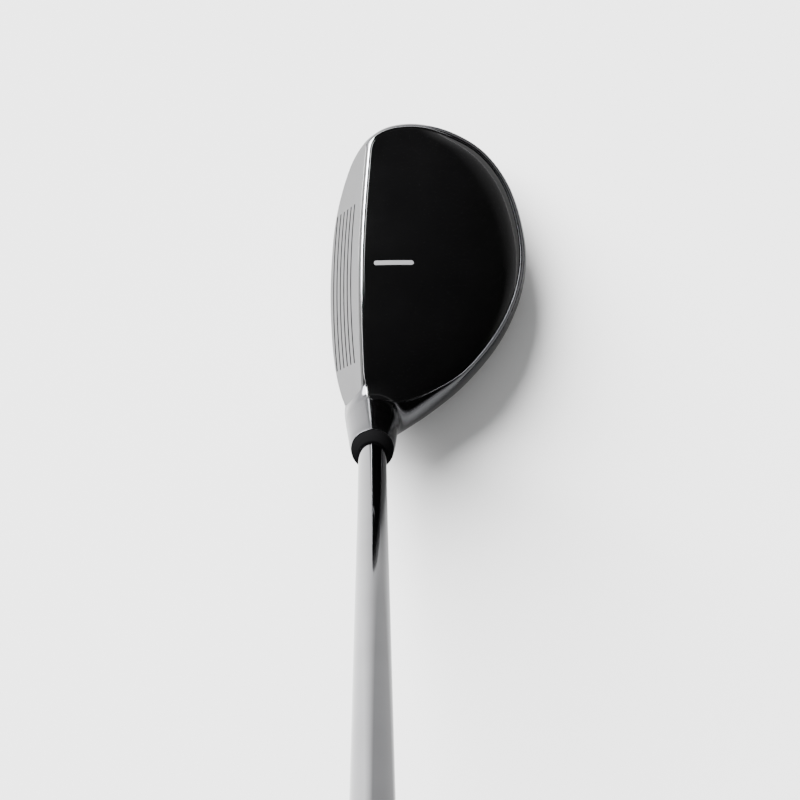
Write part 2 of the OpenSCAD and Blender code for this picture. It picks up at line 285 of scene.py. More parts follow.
def add_piece(name, points, faces, material, nodes, sharp=32):
    """A piece of the club from points in mm; edges sharper than an angle in degrees stay crisp."""
    mesh = bpy.data.meshes.new(name)
    mesh.from_pydata((np.asarray(points, float) * MM).tolist(), [], [list(map(int, f)) for f in faces])
    mesh.validate()
    face_outwards(mesh)
    mesh.shade_smooth()
    mesh.set_sharp_from_angle(angle=math.radians(sharp))
    mesh.materials.append(material)
    piece = bpy.data.objects.new(name, mesh)
    bpy.context.scene.collection.objects.link(piece)
    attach(piece, "root")
    if nodes:
        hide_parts(*nodes)
    return piece


def grid_faces(rows, columns, wrap):
    """Quads between rows of points; wrap closes each row into a ring."""
    made = []
    for i in range(rows - 1):
        for j in range(columns if wrap else columns - 1):
            k = (j + 1) % columns
            made.append((i * columns + j, i * columns + k, (i + 1) * columns + k, (i + 1) * columns + j))
    return made


def surface_net(values, origin, step):
    """Closed quad mesh of the zero level of a field on a grid: one point in each crossed cell."""
    inside = values < 0
    shape = np.array(values.shape) - 1
    count = np.zeros(shape, int)
    for i, j, k in product((0, 1), repeat=3):
        count += inside[i : shape[0] + i, j : shape[1] + j, k : shape[2] + k]
    active = (count > 0) & (count < 8)
    cells = np.argwhere(active)
    number = np.full(shape, -1)
    number[active] = np.arange(len(cells))
    total = np.zeros((len(cells), 3))
    hits = np.zeros(len(cells))
    faces = []
    for axis in range(3):
        unit = np.eye(3, dtype=int)[axis]
        u = np.eye(3, dtype=int)[(axis + 1) % 3]
        v = np.eye(3, dtype=int)[(axis + 2) % 3]
        for a, b in product((0, 1), repeat=2):
            start = cells + a * u + b * v
            first = values[tuple(start.T)]
            last = values[tuple((start + unit).T)]
            crossed = (first < 0) != (last < 0)
            share = np.where(crossed, first / np.where(crossed, first - last, 1), 0)
            total += np.where(crossed[:, None], start + share[:, None] * unit, 0)
            hits += crossed
        sizes = list(enumerate(inside.shape))
        first = inside[tuple(slice(0, n - 1) if axis == i else slice(0, n) for i, n in sizes)]
        last = inside[tuple(slice(1, n) if axis == i else slice(0, n) for i, n in sizes)]
        edge = np.argwhere(first != last)
        leaving = first[tuple(edge.T)]
        corners = [number[tuple((edge - s).T)] for s in (0 * u, u, u + v, v)]
        quads = np.stack(corners, 1)
        faces.append(quads[leaving])
        faces.append(quads[~leaving][:, ::-1])
    points = origin + step * total / hits[:, None]
    return points, np.concatenate(faces)


RELAX_FORTH = 0.5
RELAX_BACK = -0.52


def relax(points, faces, rounds):
    """Evens a quad mesh out without shrinking it: a smoothing step and a step back, in turn."""
    pairs = np.concatenate([faces[:, [i, (i + 1) % 4]] for i in range(4)])
    pairs = np.concatenate([pairs, pairs[:, ::-1]])
    degree = np.bincount(pairs[:, 0], minlength=len(points))
    for turn in range(2 * rounds):
        sums = [np.bincount(pairs[:, 0], points[pairs[:, 1], i], len(points)) for i in range(3)]
        mean = np.stack(sums, 1)
        mean /= degree[:, None]
        points = points + (RELAX_FORTH if turn % 2 == 0 else RELAX_BACK) * (mean - points)
    return points


def edge_loop(field, centre, reach, count):
    """Closed plan loop where a field turns negative, walking out from the centre, evenly spaced."""
    angle = np.linspace(0, 2 * math.pi, 720, endpoint=False)
    ray = np.stack([np.cos(angle), np.sin(angle)], 1)
    near = np.zeros(len(angle))
    far = np.full(len(angle), reach)
    for _ in range(24):
        middle = (near + far) / 2
        place = centre + ray * middle[:, None]
        inside = field(place[:, 0], place[:, 1]) > 0
        near = np.where(inside, middle, near)
        far = np.where(inside, far, middle)
    loop = centre + ray * near[:, None]
    for _ in range(6):
        loop = (np.roll(loop, 1, 0) + 2 * loop + np.roll(loop, -1, 0)) / 4
    return even_loop(loop, count)


def even_loop(loop, count):
    """The same closed loop with evenly spaced points."""
    closed = np.vstack([loop, loop[:1]])
    length = np.concatenate([[0], np.cumsum(np.linalg.norm(np.diff(closed, axis=0), axis=1))])
    even = np.linspace(0, length[-1], count, endpoint=False)
    return np.stack([np.interp(even, length, closed[:, i]) for i in range(2)], 1)


def loop_normals(loop):
    """Outward normals of an anticlockwise plan loop."""
    along = np.roll(loop, -1, 0) - np.roll(loop, 1, 0)
    along /= np.linalg.norm(along, axis=1)[:, None]
    return np.stack([along[:, 1], -along[:, 0]], 1)


def inlay(loop, centre, place, thickness, edge, near, rings):
    """Closed plate inside a plan loop. place(x, y, inset, h) gives the 3-D points; h is 0 on its face.
    Its rim is rounded over the edge width, and near lists the insets of the rows close to the rim."""
    out = loop_normals(loop)
    inner = loop - out * near[-1]
    count = len(loop)
    rows = [place(loop[:, 0], loop[:, 1], 0 * loop[:, 0], -thickness)]
    for turn in (0, 0.25, 0.5, 0.75, 1):
        inset = edge * (1 - math.cos(turn * math.pi / 2))
        at = loop - out * inset
        fall = edge * (1 - math.sin(turn * math.pi / 2))
        rows.append(place(at[:, 0], at[:, 1], inset + 0 * at[:, 0], -fall))
    for inset in near:
        at = loop - out * inset
        rows.append(place(at[:, 0], at[:, 1], inset + 0 * at[:, 0], 0.0))
    deep = np.linalg.norm(inner - centre, axis=1)
    for share in np.arange(1, rings) / rings:
        at = inner + (centre - inner) * share
        rows.append(place(at[:, 0], at[:, 1], near[-1] + deep * share, 0.0))
    points = list(np.concatenate(rows))
    faces = grid_faces(len(rows), count, True)
    middle = np.array([centre])
    points.append(place(middle[:, 0], middle[:, 1], np.array([deep.max()]), 0.0)[0])
    last = (len(rows) - 1) * count
    faces += [(last + j, last + (j + 1) % count, len(points) - 1) for j in range(count)]
    under = len(points)
    points += list(place(inner[:, 0], inner[:, 1], near[-1] + 0 * deep, -thickness))
    faces += [(j, under + j, under + (j + 1) % count, (j + 1) % count) for j in range(count)]
    points.append(place(middle[:, 0], middle[:, 1], np.array([deep.max()]), -thickness)[0])
    faces += [(under + j, len(points) - 1, under + (j + 1) % count) for j in range(count)]
    return points, faces


def lathe(profile, around=96):
    """Closed turned piece on the shaft axis from the (radius, distance) corners of its section."""
    angles = np.arange(around) * 2 * math.pi / around
    rows = [[on_shaft(d, r, a) for a in angles] for r, d in profile]
    rows.append(rows[0])
    points = np.concatenate(rows[:-1])
    count = len(profile)
    faces = []
    for i in range(count):
        k = (i + 1) % count
        for j in range(around):
            m = (j + 1) % around
            faces.append((i * around + j, i * around + m, k * around + m, k * around + j))
    return points, faces


# ---------------------------------------------------------------- materials
def new_material(name):
    """A material with its Principled shader, its node tree, and coordinates in the object's own metres."""
    material = bpy.data.materials.new(name)
    material.use_nodes = True
    nodes = material.node_tree.nodes
    shader = nodes["Principled BSDF"]
    where = nodes.new("ShaderNodeTexCoord")
    return material, shader, where


def noise(material, where, scale, stretch=(1, 1, 1), detail=4.0):
    """Noise in the object's metres; scale is in waves a metre, and stretch narrows it along each axis."""
    tree = material.node_tree
    placing = tree.nodes.new("ShaderNodeMapping")
    placing.inputs["Scale"].default_value = stretch
    texture = tree.nodes.new("ShaderNodeTexNoise")
    texture.inputs["Scale"].default_value = scale
    texture.inputs["Detail"].default_value = detail
    tree.links.new(where.outputs["Object"], placing.inputs["Vector"])
    tree.links.new(placing.outputs["Vector"], texture.inputs["Vector"])
    return texture.outputs["Fac"]


def ramp(material, source, low, high, start=0.3, end=0.7):
    """A number or a colour that goes from low to high as the source goes from start to end."""
    tree = material.node_tree
    blend = tree.nodes.new("ShaderNodeValToRGB")
    for stop, at, value in zip(blend.color_ramp.elements, (start, end), (low, high)):
        stop.position = at
        stop.color = (*value, 1) if hasattr(value, "__len__") else (value, value, value, 1)
    tree.links.new(source, blend.inputs["Fac"])
    return blend.outputs["Color"]


def bump(material, shader, source, height):
    """Relief of a height in millimetres."""
    tree = material.node_tree
    relief = tree.nodes.new("ShaderNodeBump")
    relief.inputs["Distance"].default_value = height * MM
    tree.links.new(source, relief.inputs["Height"])
    tree.links.new(relief.outputs["Normal"], shader.inputs["Normal"])


def metal(name, colour, rough, grain=900, stretch=(1, 1, 1), relief=0.004, spread=0.06):
    """Bare or plated metal: colour and roughness that vary a little, and a fine grain."""
    material, shader, where = new_material(name)
    tree = material.node_tree
    shader.inputs["Metallic"].default_value = 1.0
    fine = noise(material, where, grain, stretch, 5.0)
    broad = noise(material, where, 60, detail=3.0)
    tone = ramp(material, broad, [c * 0.94 for c in colour], [min(1, c * 1.03) for c in colour])
    tree.links.new(tone, shader.inputs["Base Color"])
    tree.links.new(ramp(material, fine, rough - spread, rough + spread), shader.inputs["Roughness"])
    bump(material, shader, fine, relief)
    return material


def gloss(name, colour, rough, coat=0.0, relief=0.002, grain=500, level=0.5, spread=0.03):
    """Paint, plastic or lacquer: faint orange peel, and roughness that varies with handling."""
    material, shader, where = new_material(name)
    tree = material.node_tree
    shader.inputs["Specular IOR Level"].default_value = level
    shader.inputs["Coat Weight"].default_value = coat
    shader.inputs["Coat Roughness"].default_value = 0.04
    fine = noise(material, where, grain, detail=3.0)
    broad = noise(material, where, 45, detail=4.0)
    tone = ramp(material, broad, [c * 0.85 for c in colour], [min(1, c * 1.12) for c in colour])
    tree.links.new(tone, shader.inputs["Base Color"])
    roughness = ramp(material, broad, max(0.02, rough - spread), rough + spread)
    tree.links.new(roughness, shader.inputs["Roughness"])
    bump(material, shader, fine, relief)
    return material


CAST_STEEL = metal("cast_steel", (0.112, 0.112, 0.118), 0.16, grain=1400, relief=0.0008, spread=0.04)
POLISHED = metal("polished_steel", (0.60, 0.60, 0.62), 0.10, grain=1200, relief=0.0012, spread=0.03)
FACE_STEEL = metal("face_steel", (0.2, 0.2, 0.203), 0.34, 5000, (0.4, 1, 1), 0.0012)
CHROME = metal("chrome", (0.26, 0.26, 0.268), 0.05, grain=300, relief=0.0006, spread=0.02)
# Dark steel: the skirt line's own colour, and painted shade on the crown bead round the back and at the
# neck
EDGE_STEEL_AND_SHADE = metal("edge_steel_and_shade", (0.06, 0.061, 0.065), 0.3, grain=1400, relief=0.0008)
TUNGSTEN = metal("tungsten", (0.30, 0.30, 0.31), 0.38, grain=1500, relief=0.006)
BRASS = metal("brass", (0.75, 0.56, 0.25), 0.3)
CROWN_BLACK = gloss("crown_black", (0.0018, 0.0018, 0.0019), 0.08, relief=0.0008, grain=900)
SEAM_BLACK = gloss("seam_black", (0.004, 0.004, 0.004), 0.45, relief=0.004, grain=2500)
# Near black for the scorelines' cut faces: painted shade in the recesses
GROOVE_PAINTED_SHADE = gloss("groove_painted_shade", (0.01, 0.01, 0.0105), 0.6, relief=0.002, grain=3000, level=0.1)
FERRULE_BLACK = gloss("ferrule_plastic", (0.003, 0.003, 0.0032), 0.32, relief=0.001, grain=1200, level=0.0)
MARK_WHITE = gloss("mark_white", (0.17, 0.17, 0.175), 0.35, relief=0.004, grain=2500)
BAND_FILM = gloss("band_film", (0.03, 0.032, 0.036), 0.28, relief=0.003, grain=1500)
BADGE = gloss("badge_lacquer", (0.018, 0.02, 0.024), 0.22, coat=0.4, relief=0.002, grain=1800)
GRIP_RUBBER = gloss("grip_rubber", (0.006, 0.006, 0.0063), 0.74, relief=0.03, grain=1600, level=0.07)
CAP_RUBBER = gloss("cap_rubber", (0.0055, 0.0055, 0.0058), 0.62, relief=0.015, grain=1800, level=0.08)


# ---------------------------------------------------------------- head
# Well in the sole that holds the weight screw
screw_place = plan_box("weight_port")[0][:2] / 2 + plan_box("weight_port")[1][:2] / 2
WELL_RADIUS = 6.7
WELL_TOP = 4.4
# Pocket behind the face plate, which keeps the scorelines open to their floors
POCKET_DEPTH = 1.2
POCKET_GAP = 0.5


def cast_head():
    """Cast body, sole and hosel in one skin, with the fillet where the neck leaves the heel."""
    axes = [np.arange(NET_LOW[i], NET_HIGH[i] + NET_STEP, NET_STEP) for i in range(3)]
    plan = Plan(*np.meshgrid(axes[0], axes[1], indexing="ij"))
    values = np.empty([len(a) for a in axes], np.float32)
    x, y = np.meshgrid(axes[0], axes[1], indexing="ij")
    beside_plate = POCKET_GAP - face_field(*np.meshgrid(axes[0], axes[2], indexing="ij"))
    for k, z in enumerate(axes[2]):
        behind_plate = (y - face_y(x, z)) * math.cos(LOFT) - POCKET_DEPTH
        pocket = np.maximum(beside_plate[:, k][:, None], behind_plate)
        well = np.maximum(np.hypot(x - screw_place[0], y - screw_place[1]) - WELL_RADIUS, z - WELL_TOP)
        skin = body(plan, x, y, np.full_like(x, z), SKIN_END)
        values[:, :, k] = np.maximum(np.maximum(skin, -well), -pocket)
    points, faces = surface_net(values, NET_LOW, NET_STEP)
    points = relax(points, faces, 8)
    return add_piece(
        "cast_head", points, faces, CAST_STEEL, ["head_body", "hosel_neck"], sharp=60
    )


def hosel_rim():
    """Turned top of the hosel: outer cone, rounded rim, and the bore with its broken edge."""
    shoulder = HOSEL_TOP - 0.7
    edge = 0.15
    bore = 4.9
    bevel = 0.2
    profile = [[hosel_radius(d) + 0.02, d] for d in np.linspace(RIM_START, shoulder, 9)]
    radius = hosel_radius(shoulder)
    for turn in np.linspace(0, math.pi / 2, 5):
        profile.append([radius - edge + edge * math.cos(turn), HOSEL_TOP - edge + edge * math.sin(turn)])
    profile += [[bore + bevel, HOSEL_TOP], [bore, HOSEL_TOP - 2 * bevel], [bore, RIM_START]]
    points, faces = lathe(profile, 160)
    return add_piece("hosel_rim", points, faces, CAST_STEEL, [])


CROWN_CENTRE = np.array([-6.0, 22.0])


def crown_field(x, y):
    """Positive inside the crown plate: behind the top line, and inside the rim of the wall."""
    plan = Plan(x, y)
    behind = (y - top_line_y(x) - CROWN_BACK) * 0.97
    return smooth_min(plan.depth - plan.rim_inset, behind, 2.2)


crown_edge = edge_loop(crown_field, CROWN_CENTRE, 75, 420)


def crown_plate():
    """Gloss black plate on the head's upper skin, whose edge sits lower at the back."""

    def place(x, y, inset, h):
        back = ease((y - top_line_y(x) - CROWN_DROP_START) / CROWN_DROP_SPAN)
        fall = CROWN_DROP * back * (1 - np.clip(inset / CROWN_FADE, 0, 1)) ** 2
        return np.stack([x, y, skin_height(x, y) + CROWN_LIFT - fall + h], 1)

    near = [0.2, 0.35, 0.6, 0.9, 1.3, 1.8, 2.4, 3.0, 3.7, 4.5]
    points, faces = inlay(crown_edge, CROWN_CENTRE, place, 0.9, 0.12, near, 26)
    return add_piece("crown_plate", points, faces, CROWN_BLACK, ["crown_plate"])


# Bead round the crown: width and height where it is fine, and how much more it has where it is bold
LIP_WIDTH = 0.45
LIP_EXTRA_WIDTH = 0.6
LIP_HEIGHT = 0.17
LIP_EXTRA_HEIGHT = 0.23
LIP_ROOT = 0.6
LIP_SINK = 0.1
LIP_CLIMB = 0.12
# Where the bead gets fine and where its polish ends, both towards the neck; past that end the bead is dark
# steel, as painted shade
LIP_FINE = 39
LIP_SHADE_START = 42


def top_lip():
    """Bead round the crown: bold and polished along the face and the toe, and fine elsewhere. Where it is
    fine and at the neck it is dark steel, as painted shade.
    """
    out = loop_normals(crown_edge)
    x, y = crown_edge.T
    front = ease((-out[:, 1] - 0.1) / 0.5)
    toe = ease((-out[:, 0] - 0.25) / 0.5) * ease((30 - y) / 12)
    heel = 0.5 * ease((out[:, 0] - 0.3) / 0.3) * ease((5 - y) / 5)
    polish_vs_shade = np.maximum(np.maximum(front, toe), heel)
    bold = polish_vs_shade * (0.1 + 0.9 * ease((LIP_FINE - x) / 6))
    wide = LIP_WIDTH + LIP_EXTRA_WIDTH * bold
    tall = LIP_HEIGHT + LIP_EXTRA_HEIGHT * bold
    at_edge = skin_height(x, y)
    steps = 14
    rows = []
    for turn in 2 * math.pi * np.arange(steps) / steps:
        across = 0.5 - 0.5 * math.cos(turn)
        lift = math.sin(turn)
        at = crown_edge + out * (wide * across)[:, None]
        base = at_edge + np.clip(skin_height(at[:, 0], at[:, 1]) - at_edge, 0, LIP_CLIMB) - LIP_SINK
        rows.append(np.column_stack([at, base + (lift * tall if lift > 0 else lift * LIP_ROOT)]))
    points = np.concatenate(rows)
    faces = grid_faces(steps + 1, len(crown_edge), True)
    faces = [tuple(c % len(points) for c in f) for f in faces]
    piece = add_piece("top_lip", points, faces, POLISHED, ["top_rail"], sharp=80)
    piece.data.materials.append(EDGE_STEEL_AND_SHADE)
    # Painted shade: dark steel takes the place of the polish round the back of the crown and at the neck
    lip_painted_shade = polish_vs_shade * ease((LIP_SHADE_START - x) / 3) < 0.05
    for polygon in piece.data.polygons:
        polygon.material_index = int(lip_painted_shade[min(v % len(crown_edge) for v in polygon.vertices)])
    return piece


# Fine raised line on the wall: how far inside the outline it lies, its radius, and the outline's
# spans where it starts and ends. It sinks into the wall at both ends
SKIRT_LINE_INSET = 1.25
SKIRT_LINE_RADIUS = 0.22
SKIRT_LINE_SPANS = (2.3, 11.2)
SKIRT_LINE_TAPER = 60
SKIRT_LINE_SIDES = 10


def skirt_line():
    """Fine raised line round the shoulder of the wall, from the heel round the back to the toe."""
    first, last = (int(span * SPAN_STEPS) for span in SKIRT_LINE_SPANS)
    station = np.arange(first, last, 4)
    inset = outline[station, 2]
    turn = np.arcsin(np.clip(1 - SKIRT_LINE_INSET / inset, 0, 1))
    height = mid_z[station] + (rim_z[station] - mid_z[station]) * np.cos(turn)
    middle = outline[station, :2] - outward[station] * SKIRT_LINE_INSET
    from_end = np.minimum(station - first, last - station)
    taper = ease(from_end / SKIRT_LINE_TAPER)
    radius = SKIRT_LINE_RADIUS * (0.1 + 0.9 * taper)
    rows = []
    for angle in np.linspace(0, 2 * math.pi, SKIRT_LINE_SIDES, endpoint=False):
        across = outward[station] * (radius * math.cos(angle) - 0.2 * (1 - taper))[:, None]
        level = height + radius * math.sin(angle) - 0.3 * (1 - taper)
        rows.append(np.column_stack([middle + across, level]))
    points = np.stack(rows, 1).reshape(-1, 3)
    faces = grid_faces(len(station), SKIRT_LINE_SIDES, True)
    faces.append(tuple(range(SKIRT_LINE_SIDES)))
    faces.append(tuple(len(points) - 1 - i for i in range(SKIRT_LINE_SIDES)))
    return add_piece("skirt_line", points, faces, EDGE_STEEL_AND_SHADE, [])


# Section of the seam, as steps behind the top line and above it, and where it starts and ends
SEAM_SECTION = [[0.35, -0.02], [-0.05, -0.1], [-0.3, -0.45], [-0.52, -1.25], [-0.1, -1.5], [0.6, -0.9]]
SEAM_TOE = -49.0
SEAM_HEEL = 41.0


def top_seam():
    """Near-black strip in the seam between the face and the polished bead, over the rounded corner of the
    top line.
    """
    x = np.linspace(SEAM_TOE, SEAM_HEEL, 181)
    taper = np.minimum(ease((x - SEAM_TOE + 0.3) / 4), ease((SEAM_HEEL + 0.3 - x) / 5))
    rows = []
    for across, lift in SEAM_SECTION:
        y = top_line_y(x) + across * (0.3 + 0.7 * taper)
        level = top_height(x) + lift * (0.4 + 0.6 * taper) - 0.25 * (1 - taper)
        rows.append(np.column_stack([x, y, level]))
    points = np.stack(rows, 1).reshape(-1, 3)
    faces = grid_faces(len(x), len(SEAM_SECTION), True)
    faces.append(tuple(range(len(SEAM_SECTION))))
    faces.append(tuple(len(points) - 1 - i for i in range(len(SEAM_SECTION))))
    return add_piece("top_seam", points, faces, SEAM_BLACK, [])


# The face plate: its middle in X and Z, how proud it stands, how far it keeps from the outline and
# the top line, and the X where it ends at the heel
FACE_CENTRE = np.array([-3.0, 18.0])
FACE_LIFT = 0.12
FACE_MARGIN = 0.8
FACE_TOP_MARGIN = 1.3
FACE_HEEL = 43.5


def face_place(x, z, h):
    """Point at a height h in front of the face surface."""
    bulge = x / (BULGE * math.cos(LOFT))
    normal = np.stack([bulge, -np.ones_like(x), np.full_like(x, math.tan(LOFT))], -1)
    normal /= np.linalg.norm(normal, axis=-1)[..., None]
    return np.stack([x, face_y(x, z), z], -1) + normal * np.asarray(h)[..., None]


def face_field(x, z):
    """Positive inside the face plate."""
    plan = Plan(x, face_y(x, z))
    inside = smooth_min(-plan.shell(z) - FACE_MARGIN, top_height(x) - FACE_TOP_MARGIN - z, 1.2)
    return smooth_min(inside, FACE_HEEL - x, 5.0)


def face_plate():
    """Thin plate on the face, with the scorelines cut into it and their cut faces near black, as painted
    shade.
    """
    loop = edge_loop(face_field, FACE_CENTRE, 60, 320)

    def place(x, z, inset, h):
        return face_place(x, z, FACE_LIFT + h + 0 * x)

    points, faces = inlay(loop, FACE_CENTRE, place, 1.6, 0.1, [0.2, 0.6, 1.2, 2.0, 3.0], 14)
    piece = add_piece("face_plate", points, faces, FACE_STEEL, ["face_plate"])
    cut(piece, *scoreline_cutters(), GROOVE_PAINTED_SHADE)
    return piece


def scoreline_cutters():
    """Bars that follow the bulge of the face, one for each scoreline."""
    points, faces = [], []
    x = np.linspace(-GROOVE_LENGTH / 2, GROOVE_LENGTH / 2, 41)
    floor_half = 0.3 * GROOVE_WIDTH
    open_half = 0.5 * GROOVE_WIDTH + 0.2
    corners = [
        [-open_half, 0.5], [open_half, 0.5], [floor_half, -GROOVE_DEPTH], [-floor_half, -GROOVE_DEPTH]
    ]
    for k in range(GROOVES):
        z = LEAD_HEIGHT + (GROOVE_START + k * GROOVE_PITCH) * math.cos(LOFT)
        rows = [face_place(x, np.full_like(x, z + up * math.cos(LOFT)), h + 0 * x) for up, h in corners]
        first = len(points)
        points += list(np.stack(rows, 1).reshape(-1, 3))
        faces += [tuple(first + c for c in f) for f in grid_faces(len(x), 4, True)]
        faces.append((first, first + 1, first + 2, first + 3))
        last = len(points) - 4
        faces.append((last + 3, last + 2, last + 1, last))
    return points, faces


CUT_SHARP = 25


def cut(piece, points, faces, cut_material=None):
    """Takes a closed mesh away from a piece; the cut faces get a material of their own if one is given,
    such as the painted shade of the scorelines.
    """
    mesh = bpy.data.meshes.new("cutter")
    mesh.from_pydata((np.asarray(points) * MM).tolist(), [], [list(map(int, f)) for f in faces])
    face_outwards(mesh)
    mesh.materials.append(cut_material or piece.data.materials[0])
    cutter = bpy.data.objects.new("cutter", mesh)
    bpy.context.scene.collection.objects.link(cutter)
    boolean = piece.modifiers.new("cut", "BOOLEAN")
    boolean.operation = "DIFFERENCE"
    boolean.solver = "EXACT"
    boolean.use_self = True
    boolean.material_mode = "TRANSFER"
    boolean.object = cutter
    bpy.context.view_layer.update()
    graph = bpy.context.evaluated_depsgraph_get()
    made = bpy.data.meshes.new_from_object(piece.evaluated_get(graph))
    piece.modifiers.clear()
    piece.data = made
    bpy.data.objects.remove(cutter)
    made.shade_smooth()
    made.set_sharp_from_angle(angle=math.radians(CUT_SHARP))


def bar_loop(low, high, count=96):
    """Plan loop of a bar with round ends between two corners."""
    half = (high - low)[:2] / 2
    middle = (high + low)[:2] / 2
    radius = half.min()
    angle = np.linspace(0, 2 * math.pi, count, endpoint=False)
    shift = np.where(half > radius + 1e-6, half - radius, 0)
    ends = np.stack([np.sign(np.cos(angle)) * shift[0], np.sign(np.sin(angle)) * shift[1]], 1)
    loop = middle + ends + radius * np.stack([np.cos(angle), np.sin(angle)], 1)
    return even_loop(loop, count), middle


MARK_LIFT = 0.03


def alignment_mark():
    """Plain painted bar on the crown."""
    loop, middle = bar_loop(*plan_box("alignment_mark"))

    def place(x, y, inset, h):
        return np.stack([x, y, skin_height(x, y) + CROWN_LIFT + MARK_LIFT + h], 1)

    points, faces = inlay(loop, middle, place, 0.2, 0.03, [0.1, 0.2], 4)
    return add_piece("alignment_mark", points, faces, MARK_WHITE, ["alignment_mark"])


# ---------------------------------------------------------------- sole
SOLE_CENTRE = np.array([-6.0, 20.0])
# How proud the pieces of the sole stand
SOLE_LIFT = 0.15
BADGE_LIFT = 0.3
RING_LIFT = 0.42
PORT_LIFT = 0.45
BADGE_RINGS = (8.6, 5.2)
# The sole plate: its distance from the foot of the wall and from the leading edge, and the X where it ends
SOLE_MARGIN = 1.5
SOLE_LEAD = 4.5
SOLE_HEEL = 36


def sole_field(x, y):
    """Positive inside the sole plate: inside the foot of the wall, and clear of the leading edge."""
    plan = Plan(x, y)
    lead = face_y(x, sole_height(x, y))
    inside = smooth_min(plan.depth - SOLE_INSET - SOLE_MARGIN, y - lead - SOLE_LEAD, 3)
    return smooth_min(inside, SOLE_HEEL - x, 4)


def under(lift):
    """Places points under the head's sole, a height away from it."""

    def place(x, y, inset, h):
        return np.stack([x, y, skin_height(x, y, upper=False) - lift - h], 1)

    return place


def sole_pieces():
    """Sole plate, badge with two rings, and the weight's port and screw in their well."""
    loop = edge_loop(sole_field, SOLE_CENTRE, 70, 300)
    points, faces = inlay(loop, SOLE_CENTRE, under(SOLE_LIFT), 0.8, 0.18, [0.3, 0.6, 1.2, 2.2], 18)
    plate = add_piece("sole_plate", points, faces, FACE_STEEL, ["sole_plate"])
    cut(plate, *disc_cutter(screw_place, WELL_RADIUS))

    loop, middle = bar_loop(*plan_box("sole_badge"))
    points, faces = inlay(loop, middle, under(BADGE_LIFT), 0.5, 0.1, [0.2, 0.5], 5)
    add_piece("sole_badge", points, faces, BADGE, ["sole_badge"])
    for size in BADGE_RINGS:
        points, faces = flat_ring(middle, size, 0.5, RING_LIFT)
        add_piece(f"badge_ring_{size:.0f}", points, faces, POLISHED, [])

    low, high = plan_box("weight_port")
    middle = (low + high)[:2] / 2
    half_width = 1.0
    points, faces = flat_ring(middle, (high - low)[0] / 2 - half_width, half_width, PORT_LIFT)
    add_piece("weight_port", points, faces, POLISHED, ["weight_port"])
    weight_screw(middle)


def disc_cutter(middle, radius, around=96):
    """Upright cylinder through the sole at a plan point."""
    angle = np.linspace(0, 2 * math.pi, around, endpoint=False)
    ring = np.stack([middle[0] + radius * np.cos(angle), middle[1] + radius * np.sin(angle)], 1)
    points = [place for z in (-4.0, 12.0) for place in np.column_stack([ring, np.full(around, z)])]
    faces = grid_faces(2, around, True)
    faces += [tuple(range(around)), tuple(range(around, 2 * around))]
    return points, faces


def flat_ring(middle, radius, half_width, lift, around=96):
    """Rounded ring that stands out of the sole."""
    angle = np.linspace(0, 2 * math.pi, around, endpoint=False)
    section = []
    for turn in np.linspace(0, math.pi, 7):
        section.append([radius - half_width * math.cos(turn), lift * (0.6 + 0.4 * math.sin(turn))])
    section += [[radius + half_width, -0.6], [radius - half_width, -0.6]]
    rows = []
    for r, h in section:
        x = middle[0] + r * np.cos(angle)
        y = middle[1] + r * np.sin(angle)
        rows.append(under(h)(x, y, 0, 0.0))
    points = np.concatenate(rows)
    faces = grid_faces(len(rows) + 1, around, True)
    return points, [tuple(c % len(points) for c in f) for f in faces]


KEY_RADIUS = 2.5
KEY_LOBE = 0.42
SCREW_BACK = 2.6


def weight_screw(middle, around=120):
    """Sole weight: a flat head with a rounded rim and a six-lobed key recess."""
    radius = (plan_box("weight_screw")[1] - plan_box("weight_screw")[0])[0] / 2
    base = float(skin_height(np.array([middle[0]]), np.array([middle[1]]), upper=False)[0])
    angle = np.linspace(0, 2 * math.pi, around, endpoint=False)
    lobes = KEY_RADIUS + KEY_LOBE * np.cos(6 * angle)
    rows = [[radius - 0.1, 0.8], [radius - 0.1, -0.1], [radius - 0.35, -0.3], [lobes + 0.9, -0.3]]
    rows += [[lobes + 0.25, -0.3], [lobes, -0.15], [lobes * 0.97, 1.6], [lobes * 0.4, 2.0]]
    points = []
    for r, h in rows:
        ring = np.stack([middle[0] + r * np.cos(angle), middle[1] + r * np.sin(angle)], 1)
        points += list(np.column_stack([ring, np.full(around, base + h)]))
    faces = grid_faces(len(rows), around, True)
    last = (len(rows) - 1) * around
    faces.append(tuple(last + j for j in range(around)))
    top = len(points)
    for j in range(around):
        points.append(np.array([*points[j][:2], base + SCREW_BACK]))
    faces += [(j, top + j, top + (j + 1) % around, (j + 1) % around) for j in range(around)]
    faces.append(tuple(top + j for j in range(around)))
    return add_piece(
        "weight_screw", points, faces, TUNGSTEN, ["weight_screw", "screw_washer"], sharp=28
    )


# ---------------------------------------------------------------- shaft and grip
TIP_RADIUS = 4.7
TAPER_START = 113.0
TAPER_END = 972.0
SHAFT_WALL = 0.6
# Ferrule's rounded top: share of its step inwards, and share of its length
FERRULE_RISE = [[0, 0.16], [0.12, 0.36], [0.4, 0.68], [0.76, 0.92], [0.97, 1.0]]


def ferrule():
    """Plastic sleeve over the hosel's end, rounded down to the shaft."""
    start, end, radius = along_shaft("ferrule")
    length = end - start
    step = radius - TIP_RADIUS
    corners = [[radius - 0.02, start + 0.2]]
    corners += [[radius - inwards * step, start + up * length] for inwards, up in FERRULE_RISE]
    outer = spline(corners, 8, False)
    profile = [[TIP_RADIUS, start], [radius - 0.25, start]] + outer.tolist() + [[TIP_RADIUS, end]]
    points, faces = lathe(profile, 128)
    return add_piece("ferrule", points, faces, FERRULE_BLACK, ["ferrule"], sharp=50)


def shaft_radius(d):
    """Radius of the shaft: a parallel tip, a taper and a parallel butt."""
    butt = along_shaft("shaft")[2]
    return TIP_RADIUS + (butt - TIP_RADIUS) * np.clip((d - TAPER_START) / (TAPER_END - TAPER_START), 0, 1)


